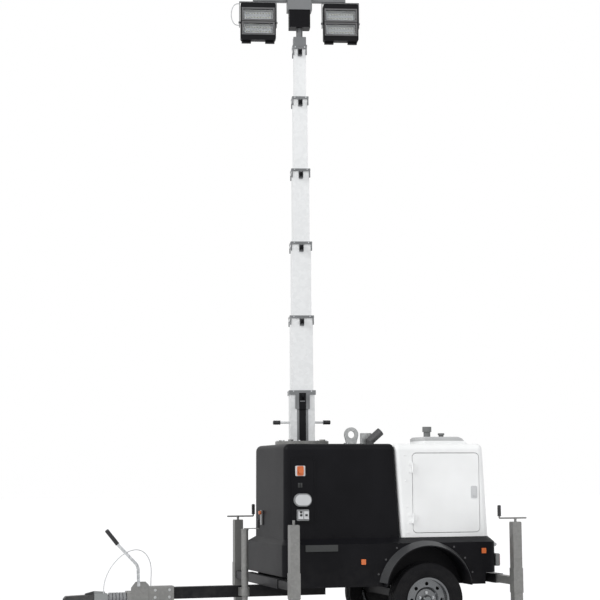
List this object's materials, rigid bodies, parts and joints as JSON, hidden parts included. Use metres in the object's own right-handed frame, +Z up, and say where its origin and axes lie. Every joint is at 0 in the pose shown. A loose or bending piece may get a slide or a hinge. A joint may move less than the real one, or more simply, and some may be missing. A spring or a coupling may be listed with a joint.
{
  "type": "mobile light tower",
  "caption": "Single-axle trailer with a generator canopy, slide-out jacks and a part-raised telescopic mast with floodlights on a crossbar.",
  "frame": {"origin": "on the ground under the middle of the overall length and width", "axes": "+X forward to the tow coupling, +Y to the machine's left, +Z up"},
  "size_m": [3.89, 2.0098, 6.1914],
  "materials": {
    "frame_grey": "satin black paint",
    "galvanised": "hot-dip galvanised, matt",
    "mast_galvanised": "galvanised, light",
    "tyre_rubber": "matt",
    "soft_rubber": "matt",
    "rim_silver": "silver paint",
    "black_plastic": "fine matt grain",
    "white_plastic": "smooth white",
    "grey_plastic": "matt light grey",
    "engine_cast": "plain cast",
    "lamp_black": "black powder coat",
    "head_steel": "grey paint",
    "lamp_glass": "clear",
    "orange_plastic": "orange lens",
    "coupling_black": "black coat",
    "lever_steel": "zinc plated"
  },
  "bodies": {
    "trailer": {"axle": "frame_grey", "battery_isolator": "orange_plastic", "breakaway_cable": "lever_steel", "chassis_frame": "frame_grey", "control_panel": "black_plastic", "coupling_head": "coupling_black", "drawbar": "frame_grey", "emergency_stop": "orange_plastic", "engine_block": "engine_cast", "exhaust": "lever_steel", "front_canopy": "black_plastic", "gaiter": "soft_rubber", "grab_rails": "grey_plastic", "handbrake_lever": "lever_steel", "jockey_tube": "galvanised", "lifting_eye": "galvanised", "lower_skirt": "black_plastic", "mudguards": "black_plastic", "overrun_housing": "galvanised", "panel_fittings": "grey_plastic", "rear_canopy": "white_plastic", "roof_caps": "black_plastic", "roof_pod": "white_plastic", "roof_ring": "galvanised", "side_markers": "orange_plastic", "tail_lamps": "orange_plastic"},
    "wheel_left": {"tyre_left": "tyre_rubber", "rim_left": "rim_silver"},
    "wheel_right": {"tyre_right": "tyre_rubber", "rim_right": "rim_silver"},
    "jockey_slide": {"jockey_leg": "galvanised"},
    "jockey_swivel_fork": {"jockey_fork": "galvanised"},
    "jockey_roller": {"jockey_wheel": "soft_rubber"},
    "door_left": {"service_door_left": "white_plastic"},
    "door_right": {"service_door_right": "white_plastic"},
    "mast_turning_base": {"mast_base": "mast_galvanised"},
    "mast_1": {"mast_stage_1": "mast_galvanised"},
    "mast_2": {"mast_stage_2": "mast_galvanised"},
    "mast_3": {"mast_stage_3": "mast_galvanised"},
    "mast_4": {"mast_stage_4": "mast_galvanised"},
    "mast_5_with_head": {"mast_stage_5": "mast_galvanised", "mast_head": "head_steel", "junction_box": "black_plastic", "lamp_lead": "soft_rubber"},
    "arm_front_left": {"outrigger_front_left": "galvanised"},
    "leg_front_left": {"jack_leg_front_left": "galvanised"},
    "arm_front_right": {"outrigger_front_right": "galvanised"},
    "leg_front_right": {"jack_leg_front_right": "galvanised"},
    "arm_rear_left": {"outrigger_rear_left": "galvanised"},
    "leg_rear_left": {"jack_leg_rear_left": "galvanised"},
    "arm_rear_right": {"outrigger_rear_right": "galvanised"},
    "leg_rear_right": {"jack_leg_rear_right": "galvanised"},
    "floodlight_front_lower": {"lamp_front_lower": "lamp_black", "lamp_glass_front_lower": "lamp_glass"},
    "floodlight_rear_lower": {"lamp_rear_lower": "lamp_black", "lamp_glass_rear_lower": "lamp_glass"},
    "floodlight_front_upper": {"lamp_front_upper": "lamp_black", "lamp_glass_front_upper": "lamp_glass"},
    "floodlight_rear_upper": {"lamp_rear_upper": "lamp_black", "lamp_glass_rear_upper": "lamp_glass"}
  },
  "joints": [
    {"name": "wheel_left_spin", "type": "hinge", "parent": "trailer", "child": "wheel_left", "pos_m": [-1.125, 0.6, 0.325], "axis": [0, 1, 0], "continuous": true},
    {"name": "wheel_right_spin", "type": "hinge", "parent": "trailer", "child": "wheel_right", "pos_m": [-1.125, -0.6, 0.325], "axis": [0, 1, 0], "continuous": true},
    {"name": "jockey_lift", "type": "slide", "parent": "trailer", "child": "jockey_slide", "axis": [0, 0, -1], "range_m": [-0.1, 0.12]},
    {"name": "jockey_swivel", "type": "hinge", "parent": "jockey_slide", "child": "jockey_swivel_fork", "pos_m": [0.37125, 0.112, 0.2], "axis": [0, 0, 1], "continuous": true},
    {"name": "jockey_spin", "type": "hinge", "parent": "jockey_swivel_fork", "child": "jockey_roller", "pos_m": [0.33625, 0.112, 0.1], "axis": [0, 1, 0], "continuous": true},
    {"name": "outrigger_slide_front_left", "type": "slide", "parent": "trailer", "child": "arm_front_left", "axis": [0, 1, 0], "range_m": [-0.25, 0]},
    {"name": "jack_lift_front_left", "type": "slide", "parent": "arm_front_left", "child": "leg_front_left", "axis": [0, 0, -1], "range_m": [-0.25, 0.15]},
    {"name": "outrigger_slide_front_right", "type": "slide", "parent": "trailer", "child": "arm_front_right", "axis": [0, -1, 0], "range_m": [-0.25, 0]},
    {"name": "jack_lift_front_right", "type": "slide", "parent": "arm_front_right", "child": "leg_front_right", "axis": [0, 0, -1], "range_m": [-0.25, 0.15]},
    {"name": "outrigger_slide_rear_left", "type": "slide", "parent": "trailer", "child": "arm_rear_left", "axis": [0, 1, 0], "range_m": [-0.25, 0]},
    {"name": "jack_lift_rear_left", "type": "slide", "parent": "arm_rear_left", "child": "leg_rear_left", "axis": [0, 0, -1], "range_m": [-0.25, 0.15]},
    {"name": "outrigger_slide_rear_right", "type": "slide", "parent": "trailer", "child": "arm_rear_right", "axis": [0, -1, 0], "range_m": [-0.25, 0]},
    {"name": "jack_lift_rear_right", "type": "slide", "parent": "arm_rear_right", "child": "leg_rear_right", "axis": [0, 0, -1], "range_m": [-0.25, 0.15]},
    {"name": "door_left_swing", "type": "hinge", "parent": "trailer", "child": "door_left", "pos_m": [-1.0575, 0.5085, 1.2475], "axis": [0, 0, -1], "range_deg": [0, 110]},
    {"name": "door_right_swing", "type": "hinge", "parent": "trailer", "child": "door_right", "pos_m": [-1.0575, -0.5085, 1.2475], "axis": [0, 0, 1], "range_deg": [0, 110]},
    {"name": "mast_turn", "type": "hinge", "parent": "trailer", "child": "mast_turning_base", "pos_m": [-0.19, 0, 0.566], "axis": [0, 0, 1], "range_deg": [-170, 170]},
    {"name": "mast_lift_1", "type": "slide", "parent": "mast_turning_base", "child": "mast_1", "axis": [0, 0, 1], "range_m": [-0.55, 0.67]},
    {"name": "mast_lift_2", "type": "slide", "parent": "mast_1", "child": "mast_2", "axis": [0, 0, 1], "range_m": [-0.55, 0.67]},
    {"name": "mast_lift_3", "type": "slide", "parent": "mast_2", "child": "mast_3", "axis": [0, 0, 1], "range_m": [-0.55, 0.67]},
    {"name": "mast_lift_4", "type": "slide", "parent": "mast_3", "child": "mast_4", "axis": [0, 0, 1], "range_m": [-0.55, 0.67]},
    {"name": "mast_lift_5", "type": "slide", "parent": "mast_4", "child": "mast_5_with_head", "axis": [0, 0, 1], "range_m": [-0.376, 0.458]},
    {"name": "lamp_tilt_front_lower", "type": "hinge", "parent": "mast_5_with_head", "child": "floodlight_front_lower", "pos_m": [0.18392, -0.0829, 5.57361], "axis": [-0.9763, 0.2164, 0], "range_deg": [-15, 75]},
    {"name": "lamp_tilt_rear_lower", "type": "hinge", "parent": "mast_5_with_head", "child": "floodlight_rear_lower", "pos_m": [-0.56392, 0.0829, 5.57361], "axis": [-0.9763, 0.2164, 0], "range_deg": [-15, 75]},
    {"name": "lamp_tilt_front_upper", "type": "hinge", "parent": "mast_5_with_head", "child": "floodlight_front_upper", "pos_m": [0.18392, -0.0829, 6.01644], "axis": [-0.9763, 0.2164, 0], "range_deg": [-15, 75]},
    {"name": "lamp_tilt_rear_upper", "type": "hinge", "parent": "mast_5_with_head", "child": "floodlight_rear_upper", "pos_m": [-0.56392, 0.0829, 6.01644], "axis": [-0.9763, 0.2164, 0], "range_deg": [-15, 75]}
  ],
  "couplings": [
    {"joint": "mast_lift_2", "follows": "mast_lift_1", "ratio": 1},
    {"joint": "mast_lift_3", "follows": "mast_lift_1", "ratio": 1},
    {"joint": "mast_lift_4", "follows": "mast_lift_1", "ratio": 1},
    {"joint": "mast_lift_5", "follows": "mast_lift_1", "ratio": 0.68}
  ]
}
